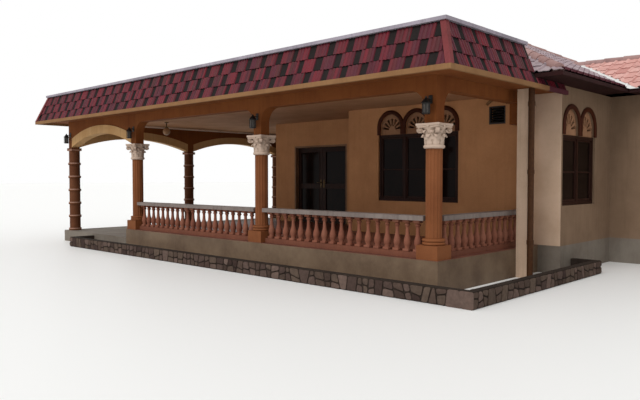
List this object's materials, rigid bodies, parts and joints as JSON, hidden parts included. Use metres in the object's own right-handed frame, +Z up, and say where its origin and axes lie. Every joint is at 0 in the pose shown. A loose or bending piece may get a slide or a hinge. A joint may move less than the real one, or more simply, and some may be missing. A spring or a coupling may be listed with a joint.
{
  "type": "single-storey bungalow",
  "caption": "Single-storey bungalow with columned front veranda, arcaded side porch, tiled mansard band, hipped main roof, side wing and a double front door that opens inwards.",
  "frame": {"origin": "middle of the whole footprint, at ground level", "axes": "+Z up, the veranda front faces -Y, +X to the right seen from the front, towards the wing"},
  "size_m": [16.02, 10.88, 5.4275],
  "materials": {
    "floor_cement": "trowelled cement",
    "floor_tile": "glazed floor tile",
    "planter_stone": "split stone with dark joints",
    "wall_plaster": "painted plaster",
    "white_plaster": "white painted plaster",
    "roof_screed": "weathered screed",
    "roof_tile": "faded concrete tile",
    "ridge_tile": "faded concrete tile",
    "band_tile": "ribbed tile, satin",
    "corner_cap": "matt tile",
    "coping_cement": "cement",
    "eaves_plaster": "painted plaster",
    "terracotta_paint": "painted plaster",
    "arch_plaster": "painted plaster",
    "capital_plaster": "cast plaster",
    "column_paint": "painted plaster",
    "baluster_clay": "cast and painted",
    "dark_timber": "dark varnish",
    "window_glass": "tinted glass",
    "moulding_paint": "painted moulding",
    "vent_metal": "dark paint",
    "door_lining": "light paint",
    "lantern_metal": "black paint",
    "globe_glass": "opal glass"
  },
  "bodies": {
    "house": {"house_floor": "floor_cement", "veranda_floor": "floor_tile", "porch_floor": "floor_cement", "planter_walls": "planter_stone", "door_side_walls": "wall_plaster", "door_head_wall": "wall_plaster", "recess_wall": "wall_plaster", "front_room_wall": "wall_plaster", "right_walls": "wall_plaster", "wing_side_walls": "wall_plaster", "wing_end_wall": "wall_plaster", "back_wall": "wall_plaster", "left_wall": "wall_plaster", "wall_pilaster": "white_plaster", "house_ceiling": "white_plaster", "veranda_roof": "roof_screed", "main_roof": "roof_tile", "ridge_caps": "ridge_tile", "tiled_band": "band_tile", "band_corner_caps": "corner_cap", "parapet_coping": "coping_cement", "eaves_lining": "eaves_plaster", "front_beam": "terracotta_paint", "side_beam": "terracotta_paint", "porch_beams": "terracotta_paint", "arch_bands": "arch_plaster", "column_stubs": "terracotta_paint", "column_capitals": "capital_plaster", "column_shafts": "column_paint", "banded_columns": "column_paint", "handrails": "white_plaster", "foot_rails": "column_paint", "balusters": "baluster_clay", "window_frames": "dark_timber", "window_glass": "window_glass", "window_fans": "arch_plaster", "window_arches": "moulding_paint", "wall_vent": "vent_metal", "door_frame": "door_lining", "lanterns": "lantern_metal", "ceiling_lamp": "globe_glass"},
    "left_door": {"door_leaf_left": "dark_timber", "door_pane_left": "window_glass"},
    "right_door": {"door_leaf_right": "dark_timber", "door_pane_right": "window_glass"}
  },
  "joints": [
    {"name": "left_door_hinge", "type": "hinge", "parent": "house", "child": "left_door", "pos_m": [-3.352, -0.201, 0.48], "axis": [0, 0, 1], "range_deg": [0, 95]},
    {"name": "right_door_hinge", "type": "hinge", "parent": "house", "child": "right_door", "pos_m": [-1.568, -0.201, 0.48], "axis": [0, 0, -1], "range_deg": [0, 95]}
  ]
}
